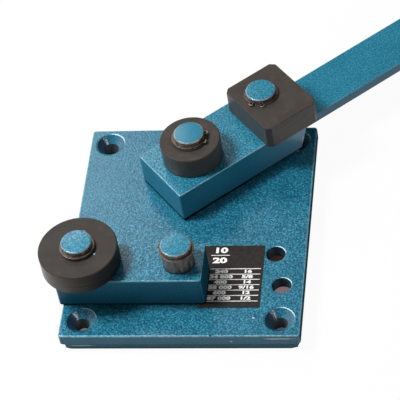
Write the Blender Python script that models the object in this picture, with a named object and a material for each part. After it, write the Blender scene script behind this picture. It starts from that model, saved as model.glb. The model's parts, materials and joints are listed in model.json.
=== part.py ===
"""Bench-mounted rebar bender with a long lever, in metres.

X runs along the plate's front edge, Y points to its back edge and Z up.
The origin is the middle of the plate's underside.
"""

import math

import bmesh
import bpy
from mathutils import Vector

# The lever, from the pivot to the free end of its handle, and where it points
LEVER_LENGTH = 1.2
LEVER_ANGLE_DEG = 40.5

# Clearance between pieces that touch in the real object
GAP = 0.0003

# Base plate
PLATE_WIDTH = 0.250
PLATE_DEPTH = 0.290
PLATE_THICKNESS = 0.023
PLATE_CORNER_RADIUS = 0.0035
PLATE_EDGE_RADIUS = 0.0014
PLATE_FOOT_HEIGHT = 0.009
PLATE_FOOT_STEP = 0.0012
PLATE_FOOT_DRAFT = 0.0012
PLATE_FOOT_CORNER_RADIUS = 0.008

# Underside of the plate: hollows inside the foot, with pads at the corners, a boss round the
# pivot and a rib across
PLATE_RIM_WIDTH = 0.012
PLATE_PAD_REACH = 0.046
PLATE_BOSS_HALF_WIDTH = 0.040
PLATE_BOSS_FRONT = 0.080
PLATE_RIB_WIDTH = 0.008
PLATE_HOLLOW_CORNER_RADIUS = 0.005

# Bench bolt holes, sunk at 90 degrees, and how far their centres are from the plate's edges
BOLT_SIDE_INSET = 0.022
BOLT_END_INSET = 0.0213
BOLT_BORE_RADIUS = 0.008
BOLT_SINK_RADIUS = 0.0153

# Pins: the pivot of the lever, the pin of the square block, the post and the roller pin
PIN_RADIUS = 0.016
PIN_TIP_LENGTH = 0.0054
PIN_TIP_CHAMFER = 0.001
PIVOT_BACK_INSET = 0.077
PIVOT_HEAD_RADIUS = 0.022
PIVOT_HEAD_THICKNESS = 0.006
PIN_SPACING = 0.094

# Circlips and the washers under them
CIRCLIP_THICKNESS = 0.0015
CIRCLIP_GROOVE_DEPTH = 0.001
CIRCLIP_WIDE = 0.0036
CIRCLIP_NARROW = 0.0023
CIRCLIP_LUG_REACH = 0.0052
CIRCLIP_LUG_WIDTH = 0.0062
CIRCLIP_LUG_SPACING = 0.0112
CIRCLIP_HOLE_RADIUS = 0.00115
SUPPORT_WASHER_RADIUS = 0.0186
SUPPORT_WASHER_THICKNESS = 0.0018

# Lever block and what it holds
LEVER_CLEARANCE = 0.0009
LEVER_WIDTH = 0.0776
LEVER_HEIGHT = 0.0391
LEVER_REAR = 0.044
LEVER_END_WALL = 0.018
LEVER_END_LEAN = 0.014
LEVER_CORNER_RADIUS = 0.0014
LEVER_EDGE_RADIUS = 0.0009
LEVER_RELIEF_START = 0.045
LEVER_RELIEF_DEPTH = 0.002
THRUST_WASHER_RADIUS = 0.030
THRUST_WASHER_THICKNESS = 0.0025
BUSH_WALL = 0.004
BENDING_STUB_RADIUS = 0.012
BENDING_FLOOR = 0.008

# Handle: a flat bar in a shallow socket of the lever block, welded round
HANDLE_WIDTH = 0.0566
HANDLE_THICKNESS = 0.0117
HANDLE_TOP_DROP = 0.0137
HANDLE_SOCKET_STEP = 0.0013
HANDLE_EDGE_RADIUS = 0.0012
WELD_LEG = 0.006

# Centre roller and square bending block
CENTRE_ROLLER_RADIUS = 0.0325
CENTRE_ROLLER_HEIGHT = 0.0261
ROLLER_CHAMFER = 0.001
BENDING_BLOCK_HEIGHT = 0.0283
BENDING_FACE_INNER = 0.0263
BENDING_FACE_OUTER = 0.039
BENDING_FACE_LEFT = 0.032
BENDING_FACE_RIGHT = 0.0487
BENDING_CORNER_CHAMFER = 0.005
BENDING_EDGE_CHAMFER = 0.0006

# Abutment: a block with the post and the roller pin, set in the plate's index holes
ABUTMENT_CLEARANCE = 0.0009
ABUTMENT_DEPTH = 0.050
ABUTMENT_HEIGHT = 0.0375
ABUTMENT_POST_MARGIN = 0.0252
ABUTMENT_ROLLER_MARGIN = 0.0265
ABUTMENT_CORNER_RADIUS = 0.0035
ABUTMENT_EDGE_RADIUS = 0.0012
ABUTMENT_FLOOR = 0.006
POST_FRONT_INSET = 0.066
POST_SEAT_HEIGHT = 0.0211
INDEX_SIDE_INSET = 0.023
INDEX_HOLE_RADIUS = 0.010
INDEX_ANGLES_DEG = (0, 24.5, 155.5, 180)
STUB_LIFT = 0.004
STUB_CHAMFER = 0.001
ABUTMENT_ROLLER_RADIUS = 0.0413
ABUTMENT_ROLLER_HEIGHT = 0.0248

# Label plate
LABEL_HOLE_MARGIN = 0.0067
LABEL_DEPTH = 0.083
LABEL_THICKNESS = 0.0004
LABEL_SEAT = 0.00012
LABEL_SIDE_INSET = 0.0439
LABEL_FRONT_INSET = 0.037
LABEL_CORNER_RADIUS = 0.001

# Directions of the circlips' gaps, in degrees from the X axis of their parent
PIVOT_CIRCLIP_DEG = -2
BENDING_CIRCLIP_DEG = 219
POST_CIRCLIP_DEG = 146
ROLLER_CIRCLIP_DEG = 95

# Resolution
ROLLER_SEGMENTS = 72
PIN_SEGMENTS = 40
HOLE_SEGMENTS = 28
SMALL_HOLE_SEGMENTS = 10
CORNER_STEPS = 3
EDGE_STEPS = 2
CIRCLIP_STEPS = 36
LUG_STEPS = 5
HANDLE_END_STEPS = 20
SHARP_ANGLE = math.radians(28)

# Cutters reach past the faces that they open by this share of the piece's height
CUT_PAST_SHARE = 0.5

# A lug's rounded end follows a sine between these shares of half a turn
LUG_SWELL_START_SHARE = 0.2
LUG_SWELL_END_SHARE = 0.8

# Places on the plate, measured from its edges
PIVOT_Y = PLATE_DEPTH / 2 - PIVOT_BACK_INSET
POST_Y = POST_FRONT_INSET - PLATE_DEPTH / 2
INDEX_RADIUS = PLATE_WIDTH / 2 - INDEX_SIDE_INSET
BOLT_X = PLATE_WIDTH / 2 - BOLT_SIDE_INSET
BOLT_Y = PLATE_DEPTH / 2 - BOLT_END_INSET
LABEL_LEFT = INDEX_HOLE_RADIUS + LABEL_HOLE_MARGIN
LABEL_RIGHT = PLATE_WIDTH / 2 - LABEL_SIDE_INSET
LABEL_FRONT = LABEL_FRONT_INSET - PLATE_DEPTH / 2

# Places along the lever, from the pivot
LEVER_END_LOW = PIN_SPACING + LEVER_END_WALL
LEVER_END_HIGH = LEVER_END_LOW + LEVER_END_LEAN
HANDLE_ROOT = LEVER_END_LOW + HANDLE_SOCKET_STEP

# Heights that follow from the sizes above
LEVER_BOTTOM = PLATE_THICKNESS + LEVER_CLEARANCE
LEVER_TOP = LEVER_BOTTOM + LEVER_HEIGHT
LEVER_RELIEF_TOP = LEVER_BOTTOM + LEVER_RELIEF_DEPTH
BENDING_SHOULDER = LEVER_RELIEF_TOP + BENDING_FLOOR
ABUTMENT_BOTTOM = PLATE_THICKNESS + ABUTMENT_CLEARANCE
ABUTMENT_TOP = ABUTMENT_BOTTOM + ABUTMENT_HEIGHT
ABUTMENT_SHOULDER = ABUTMENT_BOTTOM + ABUTMENT_FLOOR
BORE_RADIUS = PIN_RADIUS + GAP
CENTRE_ROLLER_TOP = LEVER_TOP + GAP + CENTRE_ROLLER_HEIGHT
CENTRE_WASHER_BOTTOM = CENTRE_ROLLER_TOP + GAP
PIVOT_CIRCLIP_BOTTOM = CENTRE_WASHER_BOTTOM + SUPPORT_WASHER_THICKNESS + GAP
BENDING_CIRCLIP_BOTTOM = LEVER_TOP + GAP + BENDING_BLOCK_HEIGHT + GAP
ABUTMENT_ROLLER_BOTTOM = ABUTMENT_TOP + GAP
ROLLER_WASHER_BOTTOM = ABUTMENT_ROLLER_BOTTOM + ABUTMENT_ROLLER_HEIGHT + GAP
ROLLER_CIRCLIP_BOTTOM = ROLLER_WASHER_BOTTOM + SUPPORT_WASHER_THICKNESS + GAP
POST_CIRCLIP_BOTTOM = ABUTMENT_TOP + POST_SEAT_HEIGHT + GAP
HANDLE_TOP = LEVER_TOP - HANDLE_TOP_DROP
HANDLE_BOTTOM = HANDLE_TOP - HANDLE_THICKNESS


def clear_scene():
    for obj in list(bpy.data.objects):
        bpy.data.objects.remove(obj, do_unlink=True)
    for mesh in list(bpy.data.meshes):
        bpy.data.meshes.remove(mesh)


def material(name, colour, metallic, roughness):
    made = bpy.data.materials.new(name)
    made.use_nodes = True
    shader = made.node_tree.nodes["Principled BSDF"]
    shader.inputs["Base Color"].default_value = (*colour, 1.0)
    shader.inputs["Metallic"].default_value = metallic
    shader.inputs["Roughness"].default_value = roughness
    made.diffuse_color = (*colour, 1.0)
    return made


def axis(name, location, angle=0.0, parent=None):
    """An empty on a joint axis, which the pieces that move about it hang from."""
    empty = bpy.data.objects.new(name, None)
    bpy.context.scene.collection.objects.link(empty)
    empty.location = location
    empty.rotation_euler = (0, 0, angle)
    empty.parent = parent
    return empty


def solid(name, points, faces, finish=None, parent=None, origin=(0, 0, 0)):
    """A mesh object whose points are given in its parent's frame."""
    base = Vector(origin)
    mesh = bpy.data.meshes.new(name)
    mesh.from_pydata([Vector(point) - base for point in points], [], faces)
    work = bmesh.new()
    work.from_mesh(mesh)
    bmesh.ops.recalc_face_normals(work, faces=work.faces)
    work.to_mesh(mesh)
    work.free()
    obj = bpy.data.objects.new(name, mesh)
    bpy.context.scene.collection.objects.link(obj)
    obj.location = base
    obj.parent = parent
    if finish:
        mesh.materials.append(finish)
    return obj


def loft(name, rings, finish=None, parent=None, origin=(0, 0, 0)):
    """A closed body through rings of equal length, capped at both ends."""
    count = len(rings[0])
    points = [point for ring in rings for point in ring]
    faces = [tuple(reversed(range(count)))]
    for level in range(len(rings) - 1):
        low = level * count
        high = low + count
        for i in range(count):
            j = (i + 1) % count
            faces.append((low + i, low + j, high + j, high + i))
    last = (len(rings) - 1) * count
    faces.append(tuple(range(last, last + count)))
    return solid(name, points, faces, finish, parent, origin)


def turned(name, profile, segments, centre, finish=None, parent=None, origin=None):
    """A body of revolution from (radius, height) pairs.

    A profile that starts and ends on the axis makes a solid body, and any other is
    closed on itself and makes a ring.
    """
    on_axis = profile[0][0] == 0 and profile[-1][0] == 0
    rims = profile[1:-1] if on_axis else profile
    points = []
    for radius, height in rims:
        for i in range(segments):
            angle = 2 * math.pi * i / segments
            points.append(
                (
                    centre[0] + radius * math.cos(angle),
                    centre[1] + radius * math.sin(angle),
                    height,
                )
            )
    faces = []
    pairs = list(range(len(rims) - 1))
    if not on_axis:
        pairs.append(len(rims) - 1)
    for level in pairs:
        low = level * segments
        high = ((level + 1) % len(rims)) * segments
        for i in range(segments):
            j = (i + 1) % segments
            faces.append((low + i, low + j, high + j, high + i))
    if on_axis:
        last = (len(rims) - 1) * segments
        faces.append(tuple(reversed(range(segments))))
        faces.append(tuple(range(last, last + segments)))
    start = (centre[0], centre[1], 0) if origin is None else origin
    return solid(name, points, faces, finish, parent, start)


def cut(target, cutter):
    """Takes the cutter out of the target and removes it."""
    cutter.hide_render = True
    cutter.display_type = "WIRE"
    modifier = target.modifiers.new("cut", "BOOLEAN")
    modifier.operation = "DIFFERENCE"
    modifier.solver = "EXACT"
    modifier.object = cutter
    bpy.context.view_layer.update()
    graph = bpy.context.evaluated_depsgraph_get()
    made = bpy.data.meshes.new_from_object(target.evaluated_get(graph))
    before = target.data
    target.modifiers.clear()
    target.data = made
    made.name = target.name
    bpy.data.meshes.remove(before)
    waste = cutter.data
    bpy.data.objects.remove(cutter, do_unlink=True)
    bpy.data.meshes.remove(waste)


def smooth(obj):
    obj.data.shade_smooth()
    obj.data.set_sharp_from_angle(angle=SHARP_ANGLE)


def rounded_outline(left, right, front, back, radius):
    """A rectangle with round corners, anticlockwise from its front right corner."""
    corners = (
        (right - radius, front + radius, -90),
        (right - radius, back - radius, 0),
        (left + radius, back - radius, 90),
        (left + radius, front + radius, 180),
    )
    outline = []
    for x, y, start in corners:
        for step in range(CORNER_STEPS + 1):
            angle = math.radians(start + 90 * step / CORNER_STEPS)
            outline.append((x + radius * math.cos(angle), y + radius * math.sin(angle)))
    return outline


def rounded_polygon(corners, radius):
    """An anticlockwise convex outline with round corners."""
    outline = []
    for i, corner in enumerate(corners):
        at = Vector(corner)
        before = (Vector(corners[i - 1]) - at).normalized()
        after = (Vector(corners[(i + 1) % len(corners)]) - at).normalized()
        half = before.angle(after) / 2
        centre = at + (before + after).normalized() * radius / math.sin(half)
        arm = at + before * radius / math.tan(half) - centre
        start = math.atan2(arm.y, arm.x)
        for step in range(CORNER_STEPS + 1):
            angle = start + (math.pi - 2 * half) * step / CORNER_STEPS
            outline.append(
                (centre.x + radius * math.cos(angle), centre.y + radius * math.sin(angle))
            )
    return outline


def edge_levels(bottom, top, radius):
    """(height, inset) pairs of a wall whose lower and upper edges are rounded."""
    quarter = [math.radians(90 * step / EDGE_STEPS) for step in range(EDGE_STEPS + 1)]
    low = [
        (bottom + radius * (1 - math.cos(a)), radius * (1 - math.sin(a)))
        for a in quarter
    ]
    high = [
        (top - radius * (1 - math.sin(a)), radius * (1 - math.cos(a)))
        for a in quarter
    ]
    return low + high


def box(name, left, right, front, back, bottom, top, parent=None):
    outline = ((left, front), (right, front), (right, back), (left, back))
    return loft(name, [[(x, y, z) for x, y in outline] for z in (bottom, top)], None, parent)


def cylinder(name, radius, bottom, top, centre, segments, parent=None):
    profile = ((0, bottom), (radius, bottom), (radius, top), (0, top))
    return turned(name, profile, segments, centre, None, parent)


def ring_profile(inner, outer, bottom, top, chamfer=0.0):
    """The section of a washer, bush or roller, with its outer edges chamfered."""
    if not chamfer:
        return [(inner, bottom), (outer, bottom), (outer, top), (inner, top)]
    return [
        (inner, bottom),
        (outer - chamfer, bottom),
        (outer, bottom + chamfer),
        (outer, top - chamfer),
        (outer - chamfer, top),
        (inner, top),
    ]


def grooved_tip(circlip_bottom):
    """The upper end of a pin: the circlip's groove and the chamfered tip above it."""
    groove_low = circlip_bottom - GAP
    groove_high = circlip_bottom + CIRCLIP_THICKNESS + GAP
    groove_radius = PIN_RADIUS - CIRCLIP_GROOVE_DEPTH
    top = groove_high + PIN_TIP_LENGTH
    return [
        (PIN_RADIUS, groove_low),
        (groove_radius, groove_low),
        (groove_radius, groove_high),
        (PIN_RADIUS, groove_high),
        (PIN_RADIUS, top - PIN_TIP_CHAMFER),
        (PIN_RADIUS - PIN_TIP_CHAMFER, top),
        (0, top),
    ]


def headed_pin(name, head_radius, head_bottom, head_top, circlip_bottom, centre, finish):
    """A pin put in from below, held by its head and by a circlip on top."""
    profile = [
        (0, head_bottom),
        (head_radius, head_bottom),
        (head_radius, head_top),
        (PIN_RADIUS, head_top),
    ]
    profile += grooved_tip(circlip_bottom)
    return turned(name, profile, PIN_SEGMENTS, centre, finish)


def stub_pin(name, stub_radius, bottom, floor, circlip_bottom, centre, finish, parent):
    """A pin put in from above, whose shoulder stands on the floor of a stepped bore."""
    shoulder = floor + GAP
    profile = [
        (0, bottom),
        (stub_radius - STUB_CHAMFER, bottom),
        (stub_radius, bottom + STUB_CHAMFER),
        (stub_radius, shoulder),
        (PIN_RADIUS, shoulder),
    ]
    profile += grooved_tip(circlip_bottom)
    made = turned(name, profile, PIN_SEGMENTS, centre, finish, parent)
    smooth(made)
    return made


def circlip(name, bottom, gap_angle, centre, finish, parent=None):
    """An outside circlip: an open ring, wide opposite its gap, with a drilled lug at each end."""
    inner = PIN_RADIUS - CIRCLIP_GROOVE_DEPTH + GAP
    hole_radius = inner + CIRCLIP_LUG_REACH / 2
    lug_angle = math.asin(CIRCLIP_LUG_SPACING / 2 / hole_radius)
    half_lug = CIRCLIP_LUG_WIDTH / 2 / hole_radius
    start = lug_angle - half_lug
    lug_end = lug_angle + half_lug
    rim = []
    for step in range(LUG_STEPS + 1):
        share = step / LUG_STEPS
        swell_share = LUG_SWELL_START_SHARE + (LUG_SWELL_END_SHARE - LUG_SWELL_START_SHARE) * share
        swell = math.sin(math.pi * swell_share)
        rim.append((start + (lug_end - start) * share, inner + CIRCLIP_LUG_REACH * swell))
    arc = []
    for step in range(1, CIRCLIP_STEPS):
        angle = lug_end + (2 * math.pi - 2 * lug_end) * step / CIRCLIP_STEPS
        width = CIRCLIP_NARROW + (CIRCLIP_WIDE - CIRCLIP_NARROW) * (1 - math.cos(angle)) / 2
        arc.append((angle, inner + width))
    mirrored = [(2 * math.pi - angle, radius) for angle, radius in reversed(rim)]
    outer_rim = rim + arc + mirrored
    inner_rim = [(angle, inner) for angle, _ in reversed(outer_rim)]
    turn = math.radians(gap_angle)
    outline = [
        (
            centre[0] + radius * math.cos(angle + turn),
            centre[1] + radius * math.sin(angle + turn),
        )
        for angle, radius in outer_rim + inner_rim
    ]
    top = bottom + CIRCLIP_THICKNESS
    count = len(outer_rim)
    rings = [[(x, y, z) for x, y in outline] for z in (bottom, top)]
    points = rings[0] + rings[1]
    total = len(outline)
    faces = []
    for i in range(total):
        j = (i + 1) % total
        faces.append((i, j, total + j, total + i))
    for i in range(count - 1):
        a, b = i, i + 1
        c, d = total - 2 - i, total - 1 - i
        faces.append((d, c, b, a))
        faces.append((total + a, total + b, total + c, total + d))
    made = solid(name, points, faces, finish, parent, (centre[0], centre[1], 0))
    for sign in (-1, 1):
        angle = turn + sign * lug_angle
        place = (
            centre[0] + hole_radius * math.cos(angle),
            centre[1] + hole_radius * math.sin(angle),
        )
        past = CUT_PAST_SHARE * CIRCLIP_THICKNESS
        hole = cylinder(
            "lug_hole",
            CIRCLIP_HOLE_RADIUS,
            bottom - past,
            top + past,
            place,
            SMALL_HOLE_SEGMENTS,
            parent,
        )
        cut(made, hole)
    smooth(made)
    return made


def index_places():
    """The plate's holes for the abutment's stubs: one under the post, the others round it."""
    places = [(0, POST_Y)]
    for degrees in INDEX_ANGLES_DEG:
        angle = math.radians(degrees)
        places.append(
            (INDEX_RADIUS * math.cos(angle), POST_Y + INDEX_RADIUS * math.sin(angle))
        )
    return places


def plate_hollows():
    """Outlines of the hollows under the plate: one in front of the rib and two beside the boss."""
    side = PLATE_WIDTH / 2 - PLATE_RIM_WIDTH
    end = PLATE_DEPTH / 2 - PLATE_RIM_WIDTH
    rib_front = PIVOT_Y - PLATE_BOSS_FRONT
    rib_back = rib_front + PLATE_RIB_WIDTH
    front = [
        (-side, rib_front),
        (-side, PLATE_PAD_REACH - end),
        (PLATE_PAD_REACH - side, -end),
        (side - PLATE_PAD_REACH, -end),
        (side, PLATE_PAD_REACH - end),
        (side, rib_front),
    ]
    right = [
        (PLATE_BOSS_HALF_WIDTH, rib_back),
        (side, rib_back),
        (side, end - PLATE_PAD_REACH),
        (side - PLATE_PAD_REACH, end),
        (PLATE_BOSS_HALF_WIDTH, end),
    ]
    left = [(-x, y) for x, y in reversed(right)]
    return [rounded_polygon(corners, PLATE_HOLLOW_CORNER_RADIUS) for corners in (front, right, left)]


def build_plate(finish):
    half_width = PLATE_WIDTH / 2
    half_depth = PLATE_DEPTH / 2
    levels = [
        (0, PLATE_FOOT_STEP + PLATE_FOOT_DRAFT, PLATE_FOOT_CORNER_RADIUS),
        (PLATE_FOOT_HEIGHT, PLATE_FOOT_STEP, PLATE_FOOT_CORNER_RADIUS),
        (PLATE_FOOT_HEIGHT + PLATE_FOOT_STEP, 0, PLATE_CORNER_RADIUS),
    ]
    for height, inset in edge_levels(0, PLATE_THICKNESS, PLATE_EDGE_RADIUS)[EDGE_STEPS + 1 :]:
        levels.append((height, inset, PLATE_CORNER_RADIUS - inset))
    rings = []
    for height, inset, radius in levels:
        outline = rounded_outline(
            inset - half_width,
            half_width - inset,
            inset - half_depth,
            half_depth - inset,
            radius,
        )
        rings.append([(x, y, height) for x, y in outline])
    plate = loft("base_plate", rings, finish)
    past = CUT_PAST_SHARE * PLATE_THICKNESS
    top = PLATE_THICKNESS + past
    sink_depth = BOLT_SINK_RADIUS - BOLT_BORE_RADIUS
    sunk = [
        (0, -past),
        (BOLT_BORE_RADIUS, -past),
        (BOLT_BORE_RADIUS, PLATE_THICKNESS - sink_depth),
        (BOLT_SINK_RADIUS, PLATE_THICKNESS),
        (BOLT_SINK_RADIUS, top),
        (0, top),
    ]
    for outline in plate_hollows():
        hollow = [[(x, y, z) for x, y in outline] for z in (-past, PLATE_FOOT_HEIGHT)]
        cut(plate, loft("hollow", hollow))
    for side_x in (-1, 1):
        for side_y in (-1, 1):
            place = (side_x * BOLT_X, side_y * BOLT_Y)
            cut(plate, turned("bolt_hole", sunk, HOLE_SEGMENTS, place))
    for place in index_places():
        cut(plate, cylinder("index_hole", INDEX_HOLE_RADIUS, -past, top, place, HOLE_SEGMENTS))
    head_radius = PIVOT_HEAD_RADIUS + GAP
    head_top = GAP + PIVOT_HEAD_THICKNESS + GAP
    pivot_hole = [
        (0, -past),
        (head_radius, -past),
        (head_radius, head_top),
        (BORE_RADIUS, head_top),
        (BORE_RADIUS, top),
        (0, top),
    ]
    cut(plate, turned("pivot_hole", pivot_hole, PIN_SEGMENTS, (0, PIVOT_Y)))
    smooth(plate)


def build_label(finish):
    outline = rounded_outline(
        LABEL_LEFT,
        LABEL_RIGHT,
        LABEL_FRONT,
        LABEL_FRONT + LABEL_DEPTH,
        LABEL_CORNER_RADIUS,
    )
    bottom = PLATE_THICKNESS + LABEL_SEAT
    rings = [[(x, y, z) for x, y in outline] for z in (bottom, bottom + LABEL_THICKNESS)]
    smooth(loft("label_plate", rings, finish))


def build_pivot(pin_finish, roller_finish, washer_finish, circlip_finish):
    place = (0, PIVOT_Y)
    pin = headed_pin(
        "pivot_pin",
        PIVOT_HEAD_RADIUS,
        GAP,
        GAP + PIVOT_HEAD_THICKNESS,
        PIVOT_CIRCLIP_BOTTOM,
        place,
        pin_finish,
    )
    roller = turned(
        "centre_roller",
        ring_profile(
            BORE_RADIUS,
            CENTRE_ROLLER_RADIUS,
            LEVER_TOP + GAP,
            CENTRE_ROLLER_TOP,
            ROLLER_CHAMFER,
        ),
        ROLLER_SEGMENTS,
        place,
        roller_finish,
    )
    washer = turned(
        "centre_washer",
        ring_profile(
            BORE_RADIUS,
            SUPPORT_WASHER_RADIUS,
            CENTRE_WASHER_BOTTOM,
            CENTRE_WASHER_BOTTOM + SUPPORT_WASHER_THICKNESS,
        ),
        PIN_SEGMENTS,
        place,
        washer_finish,
    )
    for piece in (pin, roller, washer):
        smooth(piece)
    circlip("pivot_circlip", PIVOT_CIRCLIP_BOTTOM, PIVOT_CIRCLIP_DEG, place, circlip_finish)


def lever_end(height):
    """Where the lever block ends at this height: its outer end slopes outwards and up."""
    share = (height - LEVER_BOTTOM) / LEVER_HEIGHT
    return LEVER_END_LOW + (LEVER_END_HIGH - LEVER_END_LOW) * share


def build_lever_block(finish, parent):
    rings = []
    for height, inset in edge_levels(LEVER_BOTTOM, LEVER_TOP, LEVER_EDGE_RADIUS):
        outline = rounded_outline(
            inset - LEVER_REAR,
            lever_end(height) - inset,
            inset - LEVER_WIDTH / 2,
            LEVER_WIDTH / 2 - inset,
            LEVER_CORNER_RADIUS - inset,
        )
        rings.append([(x, y, height) for x, y in outline])
    block = loft("lever_block", rings, finish, parent)
    past = CUT_PAST_SHARE * LEVER_HEIGHT
    top = LEVER_TOP + past
    relief = box(
        "relief",
        LEVER_RELIEF_START,
        LEVER_END_HIGH + past,
        -LEVER_WIDTH,
        LEVER_WIDTH,
        LEVER_BOTTOM - past,
        LEVER_RELIEF_TOP,
        parent,
    )
    cut(block, relief)
    recess_top = PLATE_THICKNESS + GAP + THRUST_WASHER_THICKNESS + GAP
    recess_radius = THRUST_WASHER_RADIUS + GAP
    bush_bore = BORE_RADIUS + BUSH_WALL + GAP
    bore = [
        (0, LEVER_BOTTOM - past),
        (recess_radius, LEVER_BOTTOM - past),
        (recess_radius, recess_top),
        (bush_bore, recess_top),
        (bush_bore, top),
        (0, top),
    ]
    cut(block, turned("bush_bore", bore, PIN_SEGMENTS, (0, 0), None, parent))
    stub_bore = BENDING_STUB_RADIUS + GAP
    seat = [
        (0, LEVER_BOTTOM - past),
        (stub_bore, LEVER_BOTTOM - past),
        (stub_bore, BENDING_SHOULDER),
        (BORE_RADIUS, BENDING_SHOULDER),
        (BORE_RADIUS, top),
        (0, top),
    ]
    cut(block, turned("pin_seat", seat, PIN_SEGMENTS, (PIN_SPACING, 0), None, parent))
    socket = box(
        "socket",
        HANDLE_ROOT - GAP,
        LEVER_END_HIGH + past,
        -HANDLE_WIDTH / 2 - GAP,
        HANDLE_WIDTH / 2 + GAP,
        HANDLE_BOTTOM - GAP,
        HANDLE_TOP + GAP,
        parent,
    )
    cut(block, socket)
    smooth(block)


def build_lever_bearings(bush_finish, washer_finish, parent):
    washer_bottom = PLATE_THICKNESS + GAP
    washer_top = washer_bottom + THRUST_WASHER_THICKNESS
    washer = turned(
        "thrust_washer",
        ring_profile(BORE_RADIUS, THRUST_WASHER_RADIUS, washer_bottom, washer_top),
        PIN_SEGMENTS,
        (0, 0),
        washer_finish,
        parent,
    )
    bush = turned(
        "lever_bush",
        ring_profile(BORE_RADIUS, BORE_RADIUS + BUSH_WALL, washer_top + GAP, LEVER_TOP - GAP),
        PIN_SEGMENTS,
        (0, 0),
        bush_finish,
        parent,
    )
    smooth(washer)
    smooth(bush)


def handle_outline(inset):
    """The flat bar from above: square at its root and round at its free end."""
    half = HANDLE_WIDTH / 2 - inset
    centre = LEVER_LENGTH - HANDLE_WIDTH / 2
    outline = [(HANDLE_ROOT + inset, half), (HANDLE_ROOT + inset, -half)]
    for step in range(HANDLE_END_STEPS + 1):
        angle = math.radians(180 * step / HANDLE_END_STEPS - 90)
        outline.append((centre + half * math.cos(angle), half * math.sin(angle)))
    return outline


def build_handle(finish, weld_finish, parent):
    rings = []
    for height, inset in edge_levels(HANDLE_BOTTOM, HANDLE_TOP, HANDLE_EDGE_RADIUS):
        rings.append([(x, y, height) for x, y in handle_outline(inset)])
    smooth(loft("handle_bar", rings, finish, parent))
    path = rounded_outline(
        -HANDLE_WIDTH / 2,
        HANDLE_WIDTH / 2,
        HANDLE_BOTTOM,
        HANDLE_TOP,
        HANDLE_EDGE_RADIUS,
    )
    middle_height = (HANDLE_BOTTOM + HANDLE_TOP) / 2
    section = ((GAP, GAP), (GAP, GAP + WELD_LEG), (GAP + WELD_LEG, GAP))
    points = []
    for i, (side, height) in enumerate(path):
        before = Vector(path[i - 1])
        after = Vector(path[(i + 1) % len(path)])
        along = after - before
        outwards = Vector((along.y, -along.x)).normalized()
        if outwards.dot(Vector((side, height - middle_height))) < 0:
            outwards.negate()
        for away, proud in section:
            y = side + outwards.x * away
            z = height + outwards.y * away
            points.append((lever_end(z) + proud, y, z))
    size = len(section)
    count = len(path)
    faces = []
    for i in range(count):
        j = (i + 1) % count
        for k in range(size):
            m = (k + 1) % size
            faces.append((i * size + k, j * size + k, j * size + m, i * size + m))
    smooth(solid("handle_weld", points, faces, weld_finish, parent))


def bending_outline(inset):
    """The square block from above: four faces at four distances from the pin."""
    left = -BENDING_FACE_INNER + inset
    right = BENDING_FACE_OUTER - inset
    front = -BENDING_FACE_RIGHT + inset
    back = BENDING_FACE_LEFT - inset
    chamfer = BENDING_CORNER_CHAMFER - inset * (2 - math.sqrt(2))
    return [
        (left + chamfer, front),
        (right - chamfer, front),
        (right, front + chamfer),
        (right, back - chamfer),
        (right - chamfer, back),
        (left + chamfer, back),
        (left, back - chamfer),
        (left, front + chamfer),
    ]


def build_bending_set(pin_finish, block_finish, circlip_finish, parent):
    place = (PIN_SPACING, 0)
    stub_pin(
        "bending_pin",
        BENDING_STUB_RADIUS,
        LEVER_RELIEF_TOP + GAP,
        BENDING_SHOULDER,
        BENDING_CIRCLIP_BOTTOM,
        place,
        pin_finish,
        parent,
    )
    bottom = LEVER_TOP + GAP
    top = bottom + BENDING_BLOCK_HEIGHT
    edge = BENDING_EDGE_CHAMFER
    rings = []
    for height, inset in ((bottom, edge), (bottom + edge, 0), (top - edge, 0), (top, edge)):
        rings.append([(PIN_SPACING + x, y, height) for x, y in bending_outline(inset)])
    block = loft("bending_block", rings, block_finish, parent, (PIN_SPACING, 0, 0))
    past = CUT_PAST_SHARE * BENDING_BLOCK_HEIGHT
    bore = cylinder("bore", BORE_RADIUS, bottom - past, top + past, place, PIN_SEGMENTS, parent)
    cut(block, bore)
    smooth(block)
    circlip(
        "bending_circlip",
        BENDING_CIRCLIP_BOTTOM,
        BENDING_CIRCLIP_DEG,
        place,
        circlip_finish,
        parent,
    )


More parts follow.
